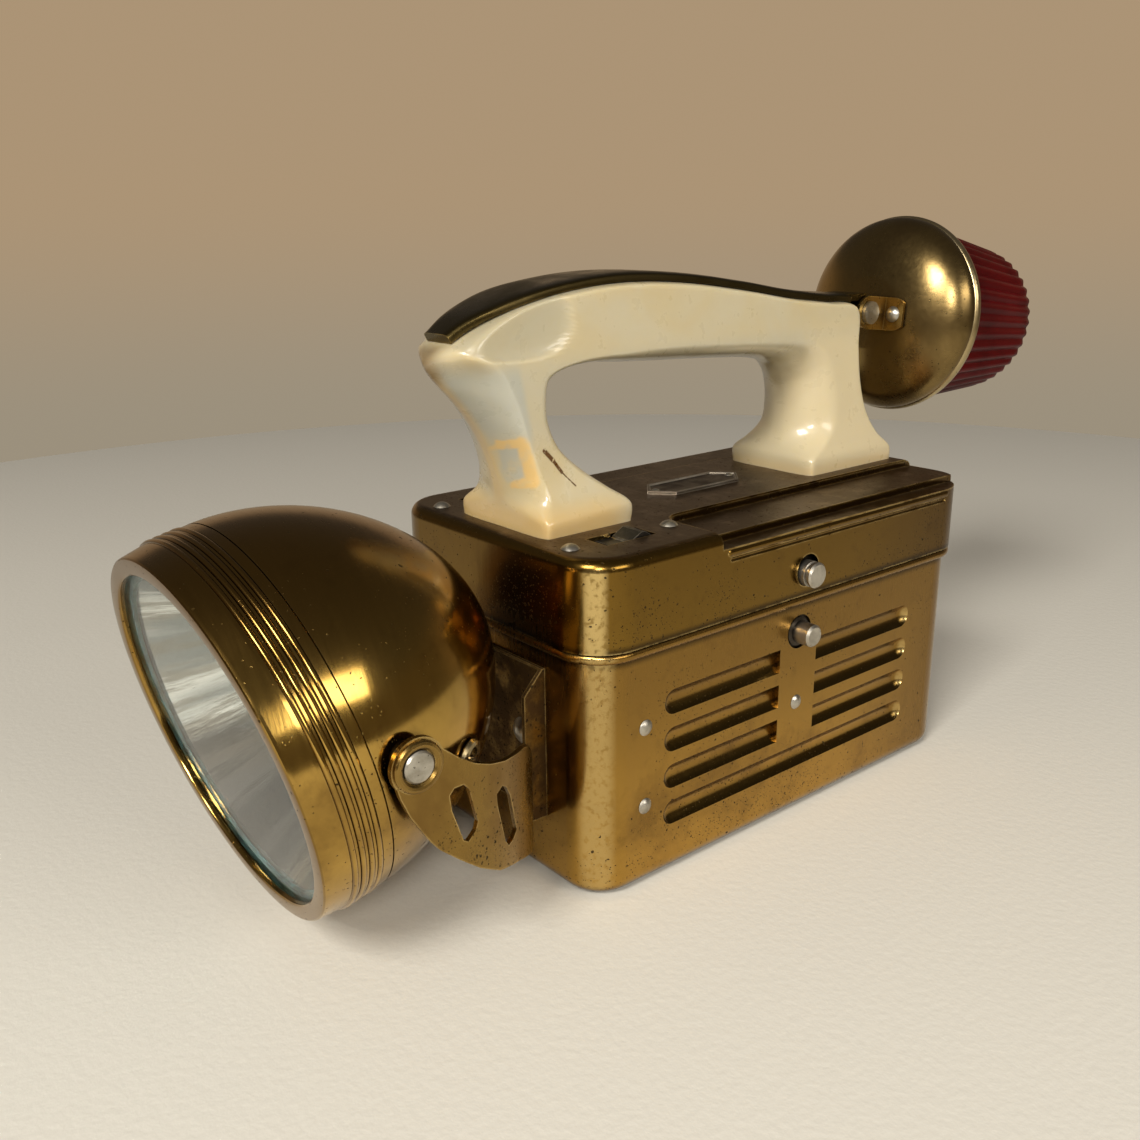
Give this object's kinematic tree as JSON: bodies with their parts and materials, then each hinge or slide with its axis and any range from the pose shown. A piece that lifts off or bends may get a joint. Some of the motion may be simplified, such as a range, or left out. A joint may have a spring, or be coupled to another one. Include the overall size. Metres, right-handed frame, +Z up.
{
  "type": "emergency lantern",
  "caption": "Carrying lantern: brass battery case with a lift-off lid and pearly handle, a tilting headlamp on a yoke in front and a tilting red flasher behind.",
  "frame": {"origin": "middle of the case's flat underside", "axes": "+Z up; -Y to the front, where the headlamp is; +X to the lantern's left as seen from behind its handle, the long side that the picture shows"},
  "size_m": [0.0976, 0.297, 0.1612],
  "materials": {
    "brass_case": "polished gold-coloured lacquered sheet, pitted and browned with age",
    "brass_contact": "plain brass",
    "nickel": "dull nickel",
    "spring_steel": "spring steel",
    "dark_bronze": "dark bronze lacquer, worn bright on the edges",
    "fibre_board": "brown fibre board",
    "battery_case": "plain grey jacket",
    "pearl_plastic": "pearly cream, glossy",
    "red_lens": "clear deep red, fluted",
    "clear_glass": "clear",
    "silvered": "silvered bowl",
    "gasket": "dark rubber"
  },
  "bodies": {
    "case": {"case_shell": "brass_case", "yoke_bracket": "brass_case", "yoke_rivets": "nickel", "side_rivets": "nickel", "strap_rivets": "nickel", "contact_bracket": "brass_case", "contact_board": "fibre_board", "contact_strips": "brass_contact", "battery": "battery_case", "battery_terminals": "spring_steel", "latch_roots": "spring_steel"},
    "latch_right": {"latch_leaf_right": "spring_steel", "latch_button_right": "nickel"},
    "latch_left": {"latch_leaf_left": "spring_steel", "latch_button_left": "nickel"},
    "lid": {"lid_shell": "brass_case", "name_plate": "brass_contact", "name_plate_rivets": "nickel", "switch_frames": "fibre_board", "switch_rivets": "nickel", "handle": "pearl_plastic", "handle_screws": "nickel", "handle_strip": "dark_bronze", "strip_pins": "dark_bronze", "flasher_lug": "dark_bronze"},
    "switch_right": {"switch_slider_right": "nickel"},
    "switch_left": {"switch_slider_left": "nickel"},
    "headlamp": {"lamp_shell": "brass_case", "lamp_bezel": "brass_case", "lamp_lens": "clear_glass", "lamp_gasket": "gasket", "lamp_reflector": "silvered", "lamp_socket": "nickel", "lamp_bulb_base": "brass_contact", "lamp_bulb_glass": "clear_glass", "wire_eyelet": "brass_case", "pivot_pins": "nickel", "pivot_washers": "nickel"},
    "flasher": {"flasher_dome": "dark_bronze", "flasher_ring": "nickel", "flasher_lens": "red_lens", "flasher_socket": "nickel", "flasher_bulb": "clear_glass", "flasher_ears": "brass_case", "flasher_ear_rivets": "nickel", "flasher_pin": "nickel"}
  },
  "joints": [
    {"name": "headlamp_tilt", "type": "hinge", "parent": "case", "child": "headlamp", "pos_m": [0, -0.1255, 0.0593], "axis": [1, 0, 0], "range_deg": [-73.5, 31.5]},
    {"name": "lid_lift", "type": "slide", "parent": "case", "child": "lid", "axis": [0, 0, 1], "range_m": [0, 0.06], "deforming": ["latch_leaf_right", "latch_leaf_left"]},
    {"name": "flasher_tilt", "type": "hinge", "parent": "lid", "child": "flasher", "pos_m": [0, 0.0666, 0.1331], "axis": [1, 0, 0], "range_deg": [-10, 90]},
    {"name": "switch_right_slide", "type": "slide", "parent": "lid", "child": "switch_right", "axis": [0, 1, 0], "range_m": [-0.0075, 0]},
    {"name": "switch_left_slide", "type": "slide", "parent": "lid", "child": "switch_left", "axis": [0, 1, 0], "range_m": [-0.0075, 0]},
    {"name": "latch_right_press", "type": "hinge", "parent": "case", "child": "latch_right", "pos_m": [0.03875, 0, 0.04075], "axis": [0, 1, 0], "range_deg": [-10.5, 0], "stiffness_Nm_per_rad": 0.6, "springref_deg": 2.86},
    {"name": "latch_left_press", "type": "hinge", "parent": "case", "child": "latch_left", "pos_m": [-0.03875, 0, 0.04075], "axis": [0, 1, 0], "range_deg": [0, 10.5], "stiffness_Nm_per_rad": 0.6, "springref_deg": -2.86}
  ]
}
